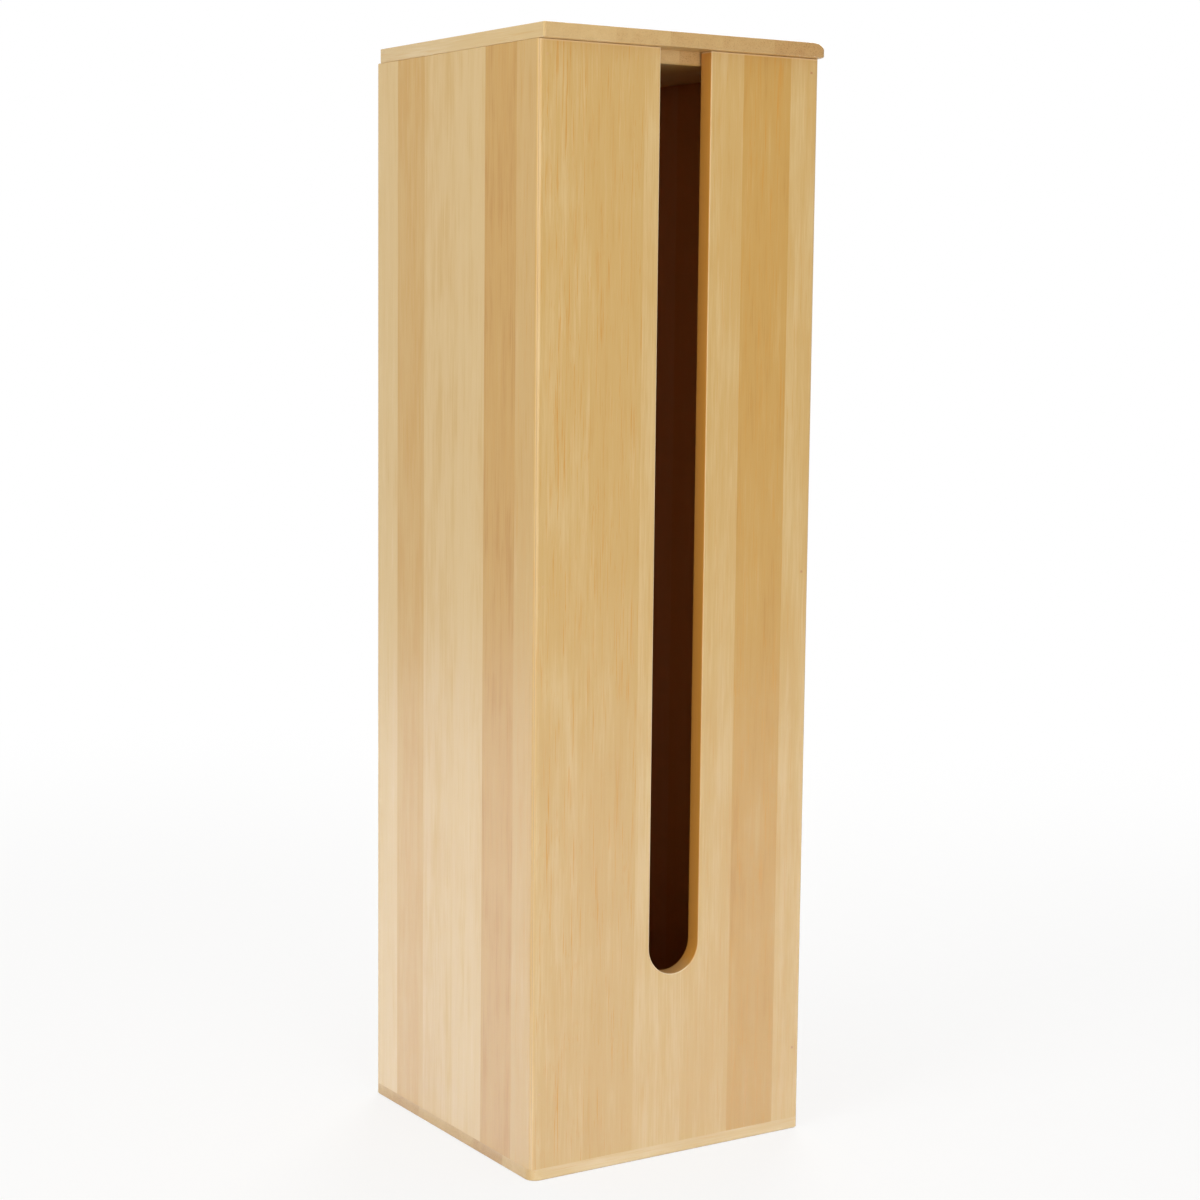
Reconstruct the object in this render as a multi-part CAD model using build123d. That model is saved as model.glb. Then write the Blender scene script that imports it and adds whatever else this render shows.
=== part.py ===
from build123d import *
import os

# Bamboo box for spare toilet rolls, with a lid that lifts off. Sizes are in millimetres.
# The origin is the middle of the base's underside. X runs to the right along the slotted front,
# Y runs from front to back and Z runs up.

# Box, outside
box_width = 160.0
box_depth = 160.0
wall_height = 534.0
wall_thickness = 9.0
base_thickness = 6.0

# Lid, which lies loose on the walls, and the smaller board under it that keeps it in place
lid_thickness = 7.0
lid_larger_than_box = 1.0
lid_pushed_forward = 4.0
lid_pushed_right = 0.5
locating_board_thickness = 6.5
locating_board_play = 5.0

# Slot in the front board, open at the top and half round at the bottom
slot_width = 29.0
slot_right_of_middle = 1.4
slot_bottom_height = 92.0

# Corners seen from above
wall_corner_radius = 2.0
base_corner_radius = 2.0
base_worn_corner_radius = 6.0
lid_corner_radius = 1.0
lid_worn_corner_radius = 7.0
locating_board_corner_radius = 2.0

# Sanded edges
slot_edge_easing = 0.6
lid_edge_easing = 0.4
locating_board_edge_easing = 0.6
wall_top_edge_easing = 0.3
base_edge_easing = 0.6

# Headless pins cut from flat-sided wire, with a chisel point, driven in below the surface
pin_width = 1.2
pin_thickness = 1.0
pin_point_length = 2.0
pin_sunk = 0.4
pin_room = 0.05

# Corner pins, from the front and the back through the mitres
corner_pin_length = 18.0
pins_per_corner = 3
lowest_pin_above_base = 37.0
highest_pin_below_top = 7.0

# Pins up through the base into the walls
base_pin_length = 25.0
base_pin_from_corner = 40.0

# Pins up through the locating board into the lid
board_pin_length = 12.0
board_pin_from_edge = 25.0

# Places worked out from the sizes above
walls_top = base_thickness + wall_height
half_width = box_width / 2
half_depth = box_depth / 2
lid_width = box_width + lid_larger_than_box
lid_depth = box_depth + lid_larger_than_box
lid_middle_x = lid_pushed_right
lid_middle_y = -lid_pushed_forward
locating_board_width = box_width - 2 * (wall_thickness + locating_board_play)
locating_board_depth = box_depth - 2 * (wall_thickness + locating_board_play)
locating_board_bottom = walls_top - locating_board_thickness
slot_radius = slot_width / 2
slot_curve_height = slot_bottom_height + slot_radius


def rounded_plate(width, depth, thickness, radius, worn_radius, worn_corner):
    """Flat board with four rounded corners, one of them rounder."""
    outline = Rectangle(width, depth)
    others = outline.vertices().sort_by_distance(worn_corner)[1:]
    outline = fillet(others, radius)
    worn = outline.vertices().sort_by_distance(worn_corner)[0]
    outline = fillet(worn, worn_radius)
    return extrude(outline, thickness)


def pin_shape(length, room=0.0, opening=0.0):
    """Pin along +Z from its blunt end at the origin. With room and an opening, the hole it sits in."""
    half = pin_width / 2 + room
    shoulder = length - pin_point_length
    side = Polyline(
        (-half, -opening), (half, -opening), (half, shoulder), (0, length + room), (-half, shoulder),
        close=True,
    )
    return extrude(Plane.XZ * make_face(side), pin_thickness / 2 + room, both=True)


def pin_heights():
    """Heights of the pins in one corner, evenly spread from the lowest to the highest."""
    lowest = base_thickness + lowest_pin_above_base
    highest = walls_top - highest_pin_below_top
    step = (highest - lowest) / (pins_per_corner - 1)
    return [lowest + step * i for i in range(pins_per_corner)]


def corner_pin_places(side):
    """Pins on the front (side -1) or the back (side 1), each pointing into the middle of a side wall."""
    x = half_width - wall_thickness / 2
    y = side * (half_depth - pin_sunk)
    turn = Rot(90 * side, 0, 0)
    return [Pos(sign * x, y, z) * turn for sign in (-1, 1) for z in pin_heights()]


def base_pin_places():
    """Two pins up into the lower edge of each wall."""
    along_x = half_width - base_pin_from_corner
    along_y = half_depth - base_pin_from_corner
    wall_x = half_width - wall_thickness / 2
    wall_y = half_depth - wall_thickness / 2
    spots = [(a * along_x, b * wall_y) for a in (-1, 1) for b in (-1, 1)]
    spots += [(a * wall_x, b * along_y) for a in (-1, 1) for b in (-1, 1)]
    return [Pos(x, y, pin_sunk) for x, y in spots]


def board_pin_places():
    """Four pins up through the locating board into the lid."""
    x = locating_board_width / 2 - board_pin_from_edge
    y = locating_board_depth / 2 - board_pin_from_edge
    z = locating_board_bottom + pin_sunk
    signs = (-1, 1)
    return [Pos(lid_middle_x + a * x, lid_middle_y + b * y, z) for a in signs for b in signs]


def corner_pin_holes():
    hole = pin_shape(corner_pin_length, pin_room, pin_sunk + 1)
    return [place * hole for side in (-1, 1) for place in corner_pin_places(side)]


def base_pin_holes():
    hole = pin_shape(base_pin_length, pin_room, pin_sunk + 1)
    return [place * hole for place in base_pin_places()]


def board_pin_holes():
    hole = pin_shape(board_pin_length, pin_room, pin_sunk + 1)
    return [place * hole for place in board_pin_places()]


def wall_ring():
    """The four walls in one, before the mitres part them."""
    outside = extrude(RectangleRounded(box_width, box_depth, wall_corner_radius), wall_height)
    inside = extrude(
        Rectangle(box_width - 2 * wall_thickness, box_depth - 2 * wall_thickness), wall_height
    )
    ring = outside - inside
    ring = chamfer(ring.faces().sort_by(Axis.Z)[-1].outer_wire().edges(), wall_top_edge_easing)
    return Pos(0, 0, base_thickness) * ring


def mitred_wall(quarter_turns):
    """One wall of the ring, cut at 45 degrees at both ends. 0 is the front, then anticlockwise."""
    sideways = quarter_turns % 2 == 1
    across = half_depth if sideways else half_width
    outward = half_width if sideways else half_depth
    inner = wall_thickness + 1
    wedge = Polygon(
        (-across - 1, -outward - 1), (across + 1, -outward - 1),
        (across - inner, -outward + inner), (-across + inner, -outward + inner), align=None,
    )
    cutter = Rot(0, 0, 90 * quarter_turns) * extrude(wedge, walls_top + 1)
    wall = wall_ring() & cutter
    return wall - base_pin_holes() - corner_pin_holes()


def slot_cutter():
    """The slot, from outside the front wall to inside the box and up past the top of the wall."""
    top = walls_top + 1
    middle = Pos(slot_right_of_middle, slot_curve_height)
    straight = Pos(slot_right_of_middle, (slot_curve_height + top) / 2) * Rectangle(
        slot_width, top - slot_curve_height
    )
    outline = middle * Circle(slot_radius) + straight
    front = Plane(origin=(0, -half_depth - 1, 0), x_dir=(1, 0, 0), z_dir=(0, -1, 0))
    return extrude(front * outline, -(wall_thickness + 2))


def slot_edges(wall):
    """Edges of the slot on the outer and inner face of the front wall."""
    left = slot_right_of_middle - slot_radius
    right = slot_right_of_middle + slot_radius
    edges = []
    for y in (-half_depth, -half_depth + wall_thickness):
        on_face = wall.edges().filter_by_position(Axis.Y, y - 0.01, y + 0.01)
        within = on_face.filter_by_position(Axis.X, left - 0.01, right + 0.01)
        above_base = within.filter_by_position(Axis.Z, slot_bottom_height - 0.01, walls_top)
        edges += [edge for edge in above_base if edge.bounding_box().size.Z > slot_edge_easing * 2]
    return edges


def make_front_panel():
    wall = mitred_wall(0) - slot_cutter()
    return fillet(slot_edges(wall), slot_edge_easing)


def make_right_panel():
    return mitred_wall(1)


def make_back_panel():
    return mitred_wall(2)


def make_left_panel():
    return mitred_wall(3)


def make_base_panel():
    near_corner = (-half_width, -half_depth, 0)
    plate = rounded_plate(
        box_width, box_depth, base_thickness, base_corner_radius, base_worn_corner_radius, near_corner
    )
    plate = chamfer(plate.faces().sort_by(Axis.Z)[0].edges(), base_edge_easing)
    return plate - base_pin_holes()


def make_lid_panel():
    worn_corner = (lid_width / 2, -lid_depth / 2, 0)
    plate = rounded_plate(
        lid_width, lid_depth, lid_thickness, lid_corner_radius, lid_worn_corner_radius, worn_corner
    )
    top = plate.faces().sort_by(Axis.Z)[-1]
    bottom = plate.faces().sort_by(Axis.Z)[0]
    plate = fillet(top.edges() + bottom.edges(), lid_edge_easing)
    return Pos(lid_middle_x, lid_middle_y, walls_top) * plate - board_pin_holes()


def make_lid_locating_board():
    outline = RectangleRounded(
        locating_board_width, locating_board_depth, locating_board_corner_radius
    )
    board = extrude(outline, locating_board_thickness)
    board = chamfer(board.faces().sort_by(Axis.Z)[0].edges(), locating_board_edge_easing)
    return Pos(lid_middle_x, lid_middle_y, locating_board_bottom) * board - board_pin_holes()


def make_corner_pins(side):
    pin = pin_shape(corner_pin_length)
    return Compound([place * pin for place in corner_pin_places(side)])


def make_front_corner_pins():
    return make_corner_pins(-1)


def make_back_corner_pins():
    return make_corner_pins(1)


def make_base_pins():
    pin = pin_shape(base_pin_length)
    return Compound([place * pin for place in base_pin_places()])


def make_locating_board_pins():
    pin = pin_shape(board_pin_length)
    return Compound([place * pin for place in board_pin_places()])


makers = {
    "base_panel": make_base_panel,
    "front_panel": make_front_panel,
    "right_panel": make_right_panel,
    "back_panel": make_back_panel,
    "left_panel": make_left_panel,
    "lid_panel": make_lid_panel,
    "lid_locating_board": make_lid_locating_board,
    "front_corner_pins": make_front_corner_pins,
    "back_corner_pins": make_back_corner_pins,
    "base_pins": make_base_pins,
    "locating_board_pins": make_locating_board_pins,
}

os.makedirs("parts", exist_ok=True)
for node, maker in makers.items():
    shape = maker()
    shape.label = node
    export_step(shape, f"parts/{node}.step")
    print(node, len(shape.solids()), "solids,", round(shape.volume), "cubic mm")
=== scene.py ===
import bmesh
import bpy
import math
from mathutils import Matrix, Vector


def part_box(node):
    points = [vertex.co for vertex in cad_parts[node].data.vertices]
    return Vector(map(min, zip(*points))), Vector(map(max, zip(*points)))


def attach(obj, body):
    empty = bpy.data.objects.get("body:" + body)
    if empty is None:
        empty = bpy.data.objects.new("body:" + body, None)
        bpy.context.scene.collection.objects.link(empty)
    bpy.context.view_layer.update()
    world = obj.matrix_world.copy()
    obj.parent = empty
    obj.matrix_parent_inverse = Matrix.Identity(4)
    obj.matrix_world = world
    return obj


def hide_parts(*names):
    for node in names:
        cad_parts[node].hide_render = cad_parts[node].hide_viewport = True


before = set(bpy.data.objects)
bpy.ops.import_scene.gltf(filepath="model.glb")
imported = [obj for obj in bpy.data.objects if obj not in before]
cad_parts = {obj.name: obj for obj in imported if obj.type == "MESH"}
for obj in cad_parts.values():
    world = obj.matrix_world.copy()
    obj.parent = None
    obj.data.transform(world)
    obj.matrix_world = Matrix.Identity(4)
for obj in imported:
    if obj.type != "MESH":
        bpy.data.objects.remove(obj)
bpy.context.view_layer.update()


def linear(red, green, blue):  # a colour as a screen shows it, 0 to 255, made ready for the shader
    shares = [channel / 255 for channel in (red, green, blue)]
    return [s / 12.92 if s <= 0.04045 else ((s + 0.055) / 1.055) ** 2.4 for s in shares] + [1.0]


class Wire:  # one output of a node, which sums can be written with
    def __init__(self, net, socket):
        self.net = net
        self.socket = socket

    def maths(self, operation, *values):
        return self.net.add("Math", {"operation": operation}, values)["Value"]

    def __add__(self, other):
        return self.maths("ADD", self, other)

    def __radd__(self, other):
        return self.maths("ADD", other, self)

    def __sub__(self, other):
        return self.maths("SUBTRACT", self, other)

    def __rsub__(self, other):
        return self.maths("SUBTRACT", other, self)

    def __mul__(self, other):
        return self.maths("MULTIPLY", self, other)

    def __rmul__(self, other):
        return self.maths("MULTIPLY", other, self)

    def __truediv__(self, other):
        return self.maths("DIVIDE", self, other)

    def size(self):
        return self.maths("ABSOLUTE", self)

    def atMost(self, other):
        return self.maths("MINIMUM", self, other)


class Net:  # the nodes of one material, or of the world
    def __init__(self, owner):
        self.owner = owner
        owner.use_nodes = True
        self.nodes = owner.node_tree.nodes
        self.links = owner.node_tree.links
        self.nodes.clear()

    def add(self, kind, settings=None, values=()):
        node = self.nodes.new("ShaderNode" + kind)
        for name, setting in (settings or {}).items():
            if name == "stops":
                self.setStops(node.color_ramp, setting)
            elif name == "between":
                node.color_ramp.interpolation = setting
            else:
                setattr(node, name, setting)
        pairs = values.items() if isinstance(values, dict) else enumerate(values)
        for place, value in pairs:
            if isinstance(value, Wire):
                self.links.new(value.socket, node.inputs[place])
            else:
                node.inputs[place].default_value = value
        return {output.name: Wire(self, output) for output in node.outputs if output.enabled}

    def setStops(self, ramp, stops):
        while len(ramp.elements) > 1:
            ramp.elements.remove(ramp.elements[-1])
        ramp.elements[0].position = stops[0][0]
        ramp.elements[0].color = stops[0][1]
        for position, colour in stops[1:]:
            ramp.elements.new(position).color = colour

    def noise(self, place, detail, roughness=0.5):
        values = {"Vector": place, "Scale": 1.0, "Detail": detail, "Roughness": roughness}
        return self.add("TexNoise", {}, values)["Fac"]

    def mask(self, value, low, high):  # 0 below low, 1 above high, smooth between them
        values = {"Value": value, "From Min": low, "From Max": high}
        return self.add("MapRange", {"interpolation_type": "SMOOTHSTEP"}, values)["Result"]

    def blend(self, amount, first, second):
        return self.add("Mix", {"data_type": "RGBA"}, {0: amount, 6: first, 7: second})["Result"]

    def stretched(self, place, scale):
        return self.add("Mapping", {}, {"Vector": place, "Scale": scale})["Vector"]

    def done(self, shader, output="OutputMaterial"):
        self.add(output, {}, {"Surface": shader})
        return self.owner


def newNet(name):
    return Net(bpy.data.materials.new(name))


# Bamboo. Every board is glued up edge to edge from strips, and its grain runs right through it,
# so the faces show fibres, the cut ends show dots and the slot shows what lies inside the board.

bambooLook = {
    "shades": [
        (0.00, linear(226, 200, 152)),
        (0.30, linear(215, 183, 124)),
        (0.55, linear(206, 167, 98)),
        (0.78, linear(200, 155, 76)),
        (1.00, linear(187, 135, 52)),
    ],
    "fibreColour": linear(204, 142, 40),
    "cutEndColour": linear(182, 140, 90),
    "dotColour": linear(120, 78, 36),
    "routedColour": linear(224, 150, 58),
    # painted shade for the inside of the box
    "insideShadeColour": linear(190, 112, 42),
    "seamColour": linear(128, 82, 34),
    "seamWidth": 0.18,
    # painted highlight, pale, for the rounded corners and the wall's top edge
    "paleHighlightColour": linear(226, 197, 152),
    # painted highlight along the slot's eased outer edge
    "easedEdgeHighlightColour": linear(248, 230, 190),
    "shadowColour": linear(138, 88, 40),
    "wander": 0.8,
    "slotMargin": (0.8, 1.2),     # how far past the slot's sides its look fades out
    "insideFade": 0.3,
    "seedStep": 0.37,
    "shiftPerStrip": 900,
    "shiftPerBoard": 5000,
    "coat": 0.5,
    "coatRoughness": 0.25,
    "coatLostAtEnds": 0.45,
    "coatLostAtCorners": 0.7,
    "specular": 0.25,
    "roughness": 0.45,
    "bump": 0.3,
    "bumpDepth": 0.00006,
    "patterns": {  # millimetres across the fibres and along them, then the noise's detail and roughness
        "wander": (20, 90, 1.0, 0.5),
        "fine": (0.30, 12, 2.0, 0.5),
        "middle": (1.1, 34, 2.0, 0.6),
        "broad": (5, 90, 2.0, 0.5),
        "cloud": (14, 45, 2.0, 0.6),
        "crowd": (3.2, 55, 1.0, 0.5),
        "line": (0.42, 24, 2.0, 0.55),
        "dash": (0.36, 7, 1.0, 0.5),
        "dashCrowd": (8, 22, 1.0, 0.5),
        "dot": (0.55, 60, 1.0, 0.5),
    },
    "limits": {  # where each mask starts and where it is full
        "crowd": (0.42, 0.60),
        "line": (0.55, 0.66),
        "dash": (0.62, 0.74),
        "dashCrowd": (0.46, 0.62),
        "dot": (0.56, 0.66),
        "corner": (0.3, 0.65),
        "cutEnd": (0.5, 0.9),
        "routed": (0.3, 0.8),
        "easedStart": (0.15, 0.45),
        "easedEnd": (0.93, 0.99),
        "easedSide": (0.0, 0.3),
        "topEdgeHighlight": (-1.1, -0.5),
        "lidLine": (-0.32, -0.28),
    },
    "toneShares": {"middle": 0.26, "broad": 0.34, "cloud": 0.30, "fine": 0.24},
    "colourShares": {
        "line": 0.78, "dash": 0.50, "corner": 0.5, "dot": 0.55, "cutEnd": 0.75, "paleEnd": 0.85,
        "paleEndTone": 0.9, "routed": 0.85, "routedAtEnd": 0.6, "routedFibre": 0.5, "eased": 0.8,
        "inside": 0.8, "topEdgeHighlight": 0.6, "lidLine": 0.7, "seam": 0.6, "seamCore": 0.4,
    },
    "roughnessShares": {"fine": 0.12, "cutEnd": 0.12, "line": 0.08},
    "reliefShares": {"fine": 0.5, "middle": 0.2, "line": 0.5, "dot": 0.5},
}

axes = {"x": 0, "y": 1, "z": 2}
perMetre = 1000  # millimetres


def bamboo(name, board):
    net = newNet(name)
    look = bambooLook
    share = look["colourShares"]
    coordinates = net.add("TexCoord")
    position = net.add("SeparateXYZ", {}, [coordinates["Object"]])
    facing = net.add("SeparateXYZ", {}, [coordinates["Normal"]])
    spot = [position[letter] * perMetre for letter in "XYZ"]
    across = spot[axes[board["across"]]] - board["from"]
    along = spot[axes[board["grain"]]]
    through = spot[3 - axes[board["across"]] - axes[board["grain"]]]

    # the strips, each with its own shade, amount of fibres and place in the grain
    stops = []
    for number, (start, shade, fibres) in enumerate(board["strips"]):
        seed = (number * look["seedStep"] + board["seed"]) % 1
        stops.append((start / board["width"], (shade, fibres, seed, 1)))
    strip = net.add("ValToRGB", {"stops": stops, "between": "CONSTANT"}, [across / board["width"]])
    stripParts = net.add("SeparateColor", {}, [strip["Color"]])
    shade = stripParts["Red"]
    fibres = stripParts["Green"]
    shift = stripParts["Blue"] * look["shiftPerStrip"] + board["seed"] * look["shiftPerBoard"]

    def pattern(name, wander=0):
        width, length, detail, roughness = look["patterns"][name]
        place = [(across + wander) / width, through / width, (along + shift) / length]
        return net.noise(net.add("CombineXYZ", {}, place)["Vector"], detail, roughness)

    def masked(name, value):
        return net.mask(value, *look["limits"][name])

    wander = (pattern("wander") - 0.5) * look["wander"]
    fine = pattern("fine", wander)
    middle = pattern("middle", wander)
    broad = pattern("broad", wander)
    cloud = pattern("cloud")
    crowd = masked("crowd", pattern("crowd", wander))
    line = masked("line", pattern("line", wander)) * crowd * fibres
    dash = masked("dash", pattern("dash", wander)) * masked("dashCrowd", pattern("dashCrowd")) * fibres
    tone = shade
    for part, amount in ((middle, "middle"), (broad, "broad"), (cloud, "cloud"), (fine, "fine")):
        tone = tone + (part - 0.5) * look["toneShares"][amount]
    colour = net.add("ValToRGB", {"stops": look["shades"], "between": "EASE"}, [tone])["Color"]
    colour = net.blend(line * share["line"] + dash * share["dash"], colour, look["fibreColour"])

    # the rounded corners are painted paler, a painted highlight along them, and have less lacquer left
    # on them
    corner = masked("corner", facing["X"].size().atMost(facing["Y"].size()))
    if board["grain"] == "z":
        colour = net.blend(corner * share["corner"], colour, look["paleHighlightColour"])

    # cut ends are browner and show each fibre as a dot
    cutEnd = masked("cutEnd", facing[board["grain"].upper()].size())
    dots = masked("dot", pattern("dot"))
    endColour = net.blend(dots * share["dot"], look["cutEndColour"], look["dotColour"])
    pale = share["paleEnd"] - tone * share["paleEndTone"]
    endColour = net.blend(pale, endColour, look["shades"][1][1])
    colour = net.blend(cutEnd * share["cutEnd"], colour, endColour)

    # the routed sides of the slot have soaked up more lacquer, and their outer eased edge is painted
    # pale, a painted highlight
    if "slotFrom" in board:
        near, far = look["slotMargin"]
        inSlot = net.mask(across, board["slotFrom"] - far, board["slotFrom"] - near)
        inSlot = inSlot * (1 - net.mask(across, board["slotTo"] + near, board["slotTo"] + far))
        routed = masked("routed", 1 - facing["Y"].size()) * inSlot * (1 - cutEnd * share["routedAtEnd"])
        routedTone = net.blend(middle * share["routedFibre"], look["routedColour"], look["fibreColour"])
        colour = net.blend(routed * share["routed"], colour, routedTone)
        outward = facing["Y"] * -1
        # painted highlight on the slot's eased outer edge
        eased = masked("easedStart", outward) * (1 - masked("easedEnd", outward)) * inSlot
        eased = eased * masked("easedSide", facing["X"] + facing["Z"])
        colour = net.blend(eased * share["eased"], colour, look["easedEdgeHighlightColour"])

    # painted shade: the inside of the box is painted darker and browner
    if "inner" in board:
        edge = board["inner"]
        within = [1 - net.mask(spot[i].size(), edge, edge + look["insideFade"]) for i in (0, 1)]
        colour = net.blend(within[0] * within[1] * share["inside"], colour, look["insideShadeColour"])

    # painted shadow: a dark line where the lid rests on the front, over a painted highlight along the
    # wall's top edge
    if "lidLine" in board:
        height = spot[2] - board["lidLine"]
        topEdgeHighlight = masked("topEdgeHighlight", height) * share["topEdgeHighlight"]
        colour = net.blend(topEdgeHighlight, colour, look["paleHighlightColour"])
        colour = net.blend(masked("lidLine", height) * share["lidLine"], colour, look["shadowColour"])

    # the glued mitres show as a hairline along the corners
    if board["grain"] == "z":
        mitre = (spot[0].size() - spot[1].size()).size()
        seam = 1 - net.mask(mitre, look["seamWidth"] * share["seamCore"], look["seamWidth"])
        colour = net.blend(seam * share["seam"], colour, look["seamColour"])

    rough = look["roughnessShares"]
    depth = look["reliefShares"]
    roughness = look["roughness"] + (fine - 0.5) * rough["fine"]
    roughness = roughness + cutEnd * rough["cutEnd"] + line * rough["line"]
    relief = fine * depth["fine"] + middle * depth["middle"]
    relief = relief - line * depth["line"] - dots * cutEnd * depth["dot"]
    bumpValues = {"Strength": look["bump"], "Distance": look["bumpDepth"], "Height": relief}
    coatLeft = (1 - cutEnd * look["coatLostAtEnds"]) * (1 - corner * look["coatLostAtCorners"])
    return net.done(net.add("BsdfPrincipled", {}, {
        "Base Color": colour,
        "Roughness": roughness,
        "Normal": net.add("Bump", {}, bumpValues)["Normal"],
        "Specular IOR Level": look["specular"],
        "Coat Weight": look["coat"] * coatLeft,
        "Coat Roughness": look["coatRoughness"],
    })["BSDF"])


# Strips are given as start across the board, shade from 0 pale to 1 dark, and amount of fibres.
# All lengths are in millimetres.

boards = {
    "front_panel": {
        "grain": "z", "across": "x", "from": -80, "width": 160, "seed": 0.11,
        "inner": 71, "slotFrom": 66.9, "slotTo": 95.9, "lidLine": 540,
        "strips": [(0, 0.48, 1.0), (29.2, 0.54, 0.8), (57.6, 0.42, 0.3), (86.1, 0.48, 0.4),
                   (114.7, 0.78, 0.8), (143.0, 0.44, 0.4)],
    },
    "left_panel": {
        "grain": "z", "across": "y", "from": -80, "width": 160, "seed": 0.42, "inner": 71,
        "strips": [(0, 0.56, 0.5), (19.0, 0.82, 0.3), (48.4, 0.34, 0.1), (78.0, 0.40, 0.1),
                   (108.4, 0.66, 0.2), (136.6, 0.30, 0.1)],
    },
    "right_panel": {
        "grain": "z", "across": "y", "from": -80, "width": 160, "seed": 0.73, "inner": 71,
        "strips": [(0, 0.40, 0.4), (22.5, 0.62, 0.7), (51.2, 0.46, 0.3), (80.0, 0.75, 0.5),
                   (108.9, 0.36, 0.2), (137.4, 0.52, 0.6)],
    },
    "back_panel": {
        "grain": "z", "across": "x", "from": -80, "width": 160, "seed": 0.27, "inner": 71,
        "strips": [(0, 0.58, 0.5), (16.8, 0.38, 0.2), (45.4, 0.50, 0.8), (74.1, 0.70, 0.6),
                   (102.6, 0.44, 0.2), (131.0, 0.56, 0.5)],
    },
    "base_panel": {
        "grain": "x", "across": "y", "from": -80, "width": 160, "seed": 0.58,
        "strips": [(0, 0.20, 0.3), (26.4, 0.66, 0.5), (55.2, 0.48, 0.3), (84.0, 0.38, 0.2),
                   (112.5, 0.60, 0.6), (141.2, 0.46, 0.3)],
    },
    "lid_panel": {
        "grain": "y", "across": "x", "from": -80, "width": 161, "seed": 0.86,
        "strips": [(0, 0.25, 0.3), (38.7, 0.40, 0.3), (68.7, 0.55, 0.4), (98.9, 0.58, 0.5),
                   (129.0, 0.80, 0.6)],
    },
    "lid_locating_board": {
        "grain": "y", "across": "x", "from": -65.5, "width": 132, "seed": 0.05,
        "strips": [(0, 0.60, 0.4), (11.9, 0.44, 0.3), (40.5, 0.40, 0.3), (69.1, 0.66, 0.4),
                   (97.8, 0.48, 0.5), (126.3, 0.58, 0.3)],
    },
}

finishes = {name: bamboo("bamboo_" + name, board) for name, board in boards.items()}
for name, made in finishes.items():
    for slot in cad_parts[name].material_slots:
        slot.material = made
print("bamboo on", len(boards), "boards")


# The lid, whose front right corner is worn round over its top. All lengths are in metres.

lidLook = {
    "corner": 0.001,
    "wornCorner": 0.003,
    "eased": 0.0004,
    "wornReach": 0.014,       # how far the wear goes along both sides
    "wornDepth": 0.0027,      # how much is gone from the top at the corner itself
    "wornBelow": 0.2,         # the share of that at the underside
    "wornCurve": 3.2,         # higher keeps the top flat longer and falls off more steeply
    "cornerSegments": 4,
    "wornSegments": 10,
    "easedSegments": 3,
    "cut": 0.0008,            # the width of the facets that carry the wear
    "near": 0.00001,          # lengths that differ by less count as equal
    "cutNear": 0.000001,
    "sharpAngle": 30,
}


def softened(bm, edges, offset, segments):
    bmesh.ops.bevel(bm, geom=edges, offset=offset, affect="EDGES", segments=segments, profile=0.5,
                    material=-1)


def rise(edge):
    return abs(edge.verts[0].co.z - edge.verts[1].co.z)


def wornLid():
    look = lidLook
    low, high = [Vector(corner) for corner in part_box("lid_panel")]
    middle = (low + high) / 2
    bm = bmesh.new()
    place = Matrix.Translation(middle) @ Matrix.Diagonal((*(high - low), 1))
    bmesh.ops.create_cube(bm, size=1, matrix=place)
    upright = [edge for edge in bm.edges if rise(edge) > look["near"]]
    upright.sort(key=lambda edge: edge.verts[0].co.x - edge.verts[0].co.y)
    softened(bm, upright[:-1], look["corner"], look["cornerSegments"])
    tip = high.x - low.y - look["near"]
    worn = [edge for edge in bm.edges if all(vert.co.x - vert.co.y > tip for vert in edge.verts)]
    softened(bm, worn, look["wornCorner"], look["wornSegments"])
    level = [edge for edge in bm.edges if rise(edge) < look["near"]]
    softened(bm, level, look["eased"], look["easedSegments"])

    start = Vector((high.x - look["wornReach"], low.y + look["wornReach"], 0))
    for number in range(int(look["wornReach"] / look["cut"])):
        for axis, sign in ((Vector((1, 0, 0)), 1), (Vector((0, 1, 0)), -1)):
            point = start + axis * sign * number * look["cut"]
            everything = list(bm.verts) + list(bm.edges) + list(bm.faces)
            bmesh.ops.bisect_plane(
                bm, geom=everything, dist=look["cutNear"], plane_co=point, plane_no=axis,
            )
    farthest = look["wornReach"] * math.sqrt(2) - look["wornCorner"] * (math.sqrt(2) - 1)
    for vert in bm.verts:
        right = vert.co.x - start.x
        forward = start.y - vert.co.y
        if right > 0 and forward > 0:
            share = (math.hypot(right, forward) - look["wornReach"]) / (farthest - look["wornReach"])
            drop = look["wornDepth"] * max(share, 0) ** look["wornCurve"]
            vert.co.z += -drop if vert.co.z > middle.z else drop * look["wornBelow"]
    bmesh.ops.recalc_face_normals(bm, faces=bm.faces)
    mesh = bpy.data.meshes.new("worn_lid")
    bm.to_mesh(mesh)
    bm.free()
    mesh.shade_smooth()
    mesh.set_sharp_from_angle(angle=math.radians(look["sharpAngle"]))
    mesh.materials.append(finishes["lid_panel"])
    piece = bpy.data.objects.new("worn_lid", mesh)
    bpy.context.collection.objects.link(piece)
    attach(piece, "lid")
    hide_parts("lid_panel")
    print("worn lid,", len(mesh.polygons), "faces")


wornLid()


# Pins, cut from drawn wire, with a film of lacquer over their ends

pinLook = {
    "pale": linear(122, 110, 98), "dark": linear(70, 52, 36), "roughness": 0.38,
    "drawnLines": (6000, 260, 6000), "spots": (900, 900, 900), "stainFrom": 0.40, "stainTo": 0.62,
    "stainDulls": 0.5, "stainRoughens": 0.3, "bump": 0.3, "bumpDepth": 0.00002,
}


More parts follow.
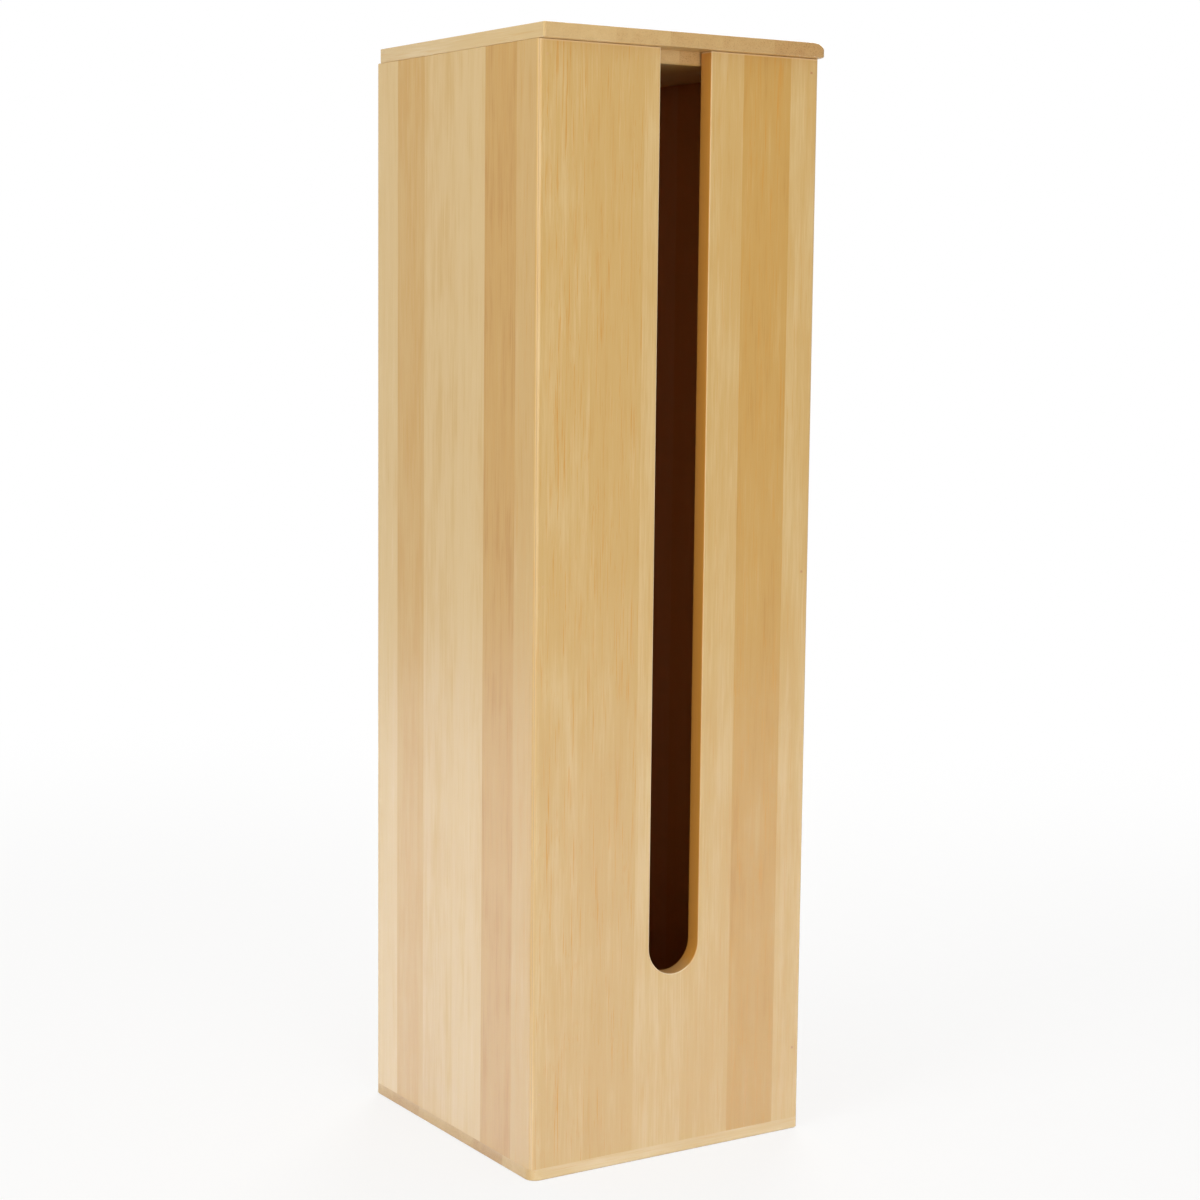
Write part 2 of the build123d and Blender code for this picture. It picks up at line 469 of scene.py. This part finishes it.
def pinSteel():
    net = newNet("pin_steel")
    look = pinLook
    place = net.add("TexCoord")["Object"]
    lines = net.noise(net.stretched(place, look["drawnLines"]), 2.0)
    spots = net.noise(net.stretched(place, look["spots"]), 3.0)
    stain = net.mask(spots, look["stainFrom"], look["stainTo"])
    bumpValues = {"Strength": look["bump"], "Distance": look["bumpDepth"], "Height": lines}
    return net.done(net.add("BsdfPrincipled", {}, {
        "Base Color": net.blend(stain, look["pale"], look["dark"]),
        "Metallic": 1 - stain * look["stainDulls"],
        "Roughness": look["roughness"] + stain * look["stainRoughens"],
        "Normal": net.add("Bump", {}, bumpValues)["Normal"],
    })["BSDF"])


pinNodes = [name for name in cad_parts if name.endswith("pins")]
steel = pinSteel()
for name in pinNodes:
    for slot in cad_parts[name].material_slots:
        slot.material = steel
print("steel on", len(pinNodes), "groups of pins")


# Wood filler, pressed in over the blunt end of each sunk pin and sanded level with the board

fillerLook = {
    "pinSunk": 0.0004,
    "holeShare": 1.08,        # the hole is this much wider than the pin
    "rim": 0.00025,
    "dish": 0.00005,          # how far the middle has shrunk below the surface
    "soften": 0.00005,
    "grains": (4000, 4000, 4000),
    "pale": linear(208, 168, 106),
    "dark": linear(188, 134, 78),
    "stainedFrom": 0.0,       # to the right of the middle the filler has darkened
    "stainedTo": 0.02,
    "stainedShare": 0.8,
    "grainShare": 0.2,
    "roughness": 0.5,
    "grainRoughness": 0.2,
    "bump": 0.4,
    "bumpDepth": 0.00003,
    "softenSegments": 2,
    "weld": 0.00001,
    "flatAngle": 0.01,
    "facing": 0.9,            # how squarely a pin's end faces outward
}

fillings = {
    "front_filler_plugs": {"node": "front_corner_pins", "body": "box", "outward": Vector((0, -1, 0))},
    "back_filler_plugs": {"node": "back_corner_pins", "body": "box", "outward": Vector((0, 1, 0))},
    "base_filler_plugs": {"node": "base_pins", "body": "box", "outward": Vector((0, 0, -1))},
    "locating_board_filler_plugs": {
        "node": "locating_board_pins", "body": "lid", "outward": Vector((0, 0, -1)),
    },
}


def fillerPaste():
    net = newNet("wood_filler")
    look = fillerLook
    place = net.add("TexCoord")["Object"]
    side = net.add("SeparateXYZ", {}, [place])["X"]
    grains = net.noise(net.stretched(place, look["grains"]), 3.0)
    stained = net.mask(side, look["stainedFrom"], look["stainedTo"])
    darker = stained * look["stainedShare"] + grains * look["grainShare"]
    bumpValues = {"Strength": look["bump"], "Distance": look["bumpDepth"], "Height": grains}
    return net.done(net.add("BsdfPrincipled", {}, {
        "Base Color": net.blend(darker, look["pale"], look["dark"]),
        "Roughness": look["roughness"] + grains * look["grainRoughness"],
        "Normal": net.add("Bump", {}, bumpValues)["Normal"],
    })["BSDF"])


def pinEnds(bm, node, outward):  # leaves only the pins' blunt ends in the mesh
    bm.from_mesh(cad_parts[node].data)
    bmesh.ops.remove_doubles(bm, verts=bm.verts, dist=fillerLook["weld"])
    bmesh.ops.dissolve_limit(bm, angle_limit=fillerLook["flatAngle"], verts=bm.verts, edges=bm.edges)
    others = [face for face in bm.faces if face.normal.dot(outward) < fillerLook["facing"]]
    bmesh.ops.delete(bm, geom=others, context="FACES")
    return list(bm.faces)


def plug(bm, end, outward):
    middle = end.calc_center_median()
    wider = Matrix.Diagonal((fillerLook["holeShare"],) * 3)
    bmesh.ops.transform(bm, matrix=wider.to_4x4(), space=Matrix.Translation(-middle), verts=end.verts)
    grown = bmesh.ops.extrude_face_region(bm, geom=[end], use_keep_orig=True)["geom"]
    top = [part for part in grown if isinstance(part, bmesh.types.BMFace)][0]
    bmesh.ops.translate(bm, vec=outward * fillerLook["pinSunk"], verts=top.verts)
    end.normal_flip()
    rim = list(top.edges)
    bmesh.ops.inset_region(bm, faces=[top], thickness=fillerLook["rim"])
    bmesh.ops.translate(bm, vec=-outward * fillerLook["dish"], verts=top.verts)
    softened(bm, rim, fillerLook["soften"], fillerLook["softenSegments"])


paste = fillerPaste()
for name, filling in fillings.items():
    bm = bmesh.new()
    ends = pinEnds(bm, filling["node"], filling["outward"])
    for end in ends:
        plug(bm, end, filling["outward"])
    bmesh.ops.recalc_face_normals(bm, faces=bm.faces)
    mesh = bpy.data.meshes.new(name)
    bm.to_mesh(mesh)
    bm.free()
    mesh.materials.append(paste)
    piece = bpy.data.objects.new(name, mesh)
    bpy.context.collection.objects.link(piece)
    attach(piece, filling["body"])
    print(name, len(ends), "plugs")


# Floor and light

floorLook = {
    "reach": 30.0, "colour": linear(246, 245, 243), "bounce": linear(208, 206, 203), "glow": 0.78,
    "fadeFrom": 0.45, "fadeTo": 1.3, "gritSize": (60, 60, 60), "gritShare": 0.06, "roughness": 0.6,
    "gritRoughness": 0.2, "specular": 0.2,
}
white = linear(255, 255, 255)
worldLook = {"fill": 0.43}

bpy.ops.mesh.primitive_plane_add(size=floorLook["reach"], location=(0, 0, 0))
floor = bpy.context.object
floor.name = "floor"


def seenRays(net):  # 1 for what the camera sees, directly, mirrored or through glass
    ray = net.add("LightPath")
    return (ray["Is Camera Ray"] + ray["Is Glossy Ray"] + ray["Is Transmission Ray"]).atMost(1)


def floorFinish():
    net = newNet("pale_floor")
    look = floorLook
    place = net.add("TexCoord")["Object"]
    grit = net.noise(net.stretched(place, look["gritSize"]), 3.0)
    seen = seenRays(net)
    paler = seen * ((1 - look["gritShare"]) + grit * look["gritShare"])
    distance = net.add("VectorMath", {"operation": "LENGTH"}, [place])["Value"]
    fade = net.mask(distance, look["fadeFrom"], look["fadeTo"])
    glow = net.add("Emission", {}, {"Color": white, "Strength": 1.0})["Emission"]
    matt = net.add("BsdfPrincipled", {}, {
        "Base Color": net.blend(paler, look["bounce"], look["colour"]),
        "Roughness": look["roughness"] + grit * look["gritRoughness"],
        "Specular IOR Level": look["specular"],
    })["BSDF"]
    share = seen * (look["glow"] + (1 - look["glow"]) * fade)
    return net.done(net.add("MixShader", {}, [share, matt, glow])["Shader"])


floor.data.materials.append(floorFinish())


def sky():
    net = Net(bpy.data.worlds.new("studio"))
    strength = worldLook["fill"] + seenRays(net) * (1 - worldLook["fill"])
    background = net.add("Background", {}, {"Color": white, "Strength": strength})
    return net.done(background["Background"], "OutputWorld")


bpy.context.scene.world = sky()

# The softboxes aim at the box. The two shines lie on the floor, face up, and stand for its reflection
# in the lacquer, so they light nothing but gloss.
aim = (0, 0, 0.3)
lamps = {
    "left_softbox": {"at": (-1.8, -0.4, 0.85), "size": (1.0, 1.0), "power": 13.5, "aim": aim},
    "front_softbox": {"at": (-0.3, -2.0, 0.30), "size": (1.0, 1.0), "power": 18.2, "aim": aim},
    "back_softbox": {"at": (1.4, 1.6, 1.2), "size": (1.0, 1.0), "power": 19, "aim": aim},
    "overhead": {"at": (-0.3, -0.5, 2.4), "size": (1.4, 1.4), "power": 8, "aim": aim},
    "left_shine": {
        "at": (-0.7904, 0.55, 0.0004), "size": (1.42, 1.6), "power": 12.8,
        "aim": (-0.7904, 0.55, 1), "onlyGloss": True,
    },
    "front_shine": {
        "at": (0.45, -0.6404, 0.0004), "size": (1.4, 1.12), "power": 13,
        "aim": (0.45, -0.6404, 1), "onlyGloss": True,
    },
}
for name, lamp in lamps.items():
    data = bpy.data.lights.new(name, "AREA")
    data.shape = "RECTANGLE"
    data.size = lamp["size"][0]
    data.size_y = lamp["size"][1]
    data.energy = lamp["power"]
    light = bpy.data.objects.new(name, data)
    light.location = lamp["at"]
    towards = Vector(lamp["aim"]) - light.location
    light.rotation_euler = towards.to_track_quat("-Z", "Y").to_euler()
    if lamp.get("onlyGloss"):
        light.visible_diffuse = False
        data.cycles.use_multiple_importance_sampling = False
    light.visible_camera = False
    bpy.context.collection.objects.link(light)
print("floor, world and", len(lamps), "softboxes")


# Camera, where the photograph was taken from

cameraPlace = {
    "at": (-0.6732, -1.0675, 0.4192), "turn": 32.51, "tilt": -6.77, "roll": 0.61, "lens": 74.47,
    "sensor": 36,
}

cameraData = bpy.data.cameras.new("camera")
cameraData.lens = cameraPlace["lens"]
cameraData.sensor_width = cameraPlace["sensor"]
camera = bpy.data.objects.new("camera", cameraData)
bpy.context.collection.objects.link(camera)
turned = Matrix.Rotation(math.radians(-cameraPlace["turn"]), 4, "Z")
tilted = Matrix.Rotation(math.radians(90 + cameraPlace["tilt"]), 4, "X")
rolled = Matrix.Rotation(math.radians(cameraPlace["roll"]), 4, "Z")
camera.matrix_world = Matrix.Translation(cameraPlace["at"]) @ turned @ tilted @ rolled
bpy.context.scene.camera = camera
bpy.context.scene.view_settings.view_transform = "Standard"
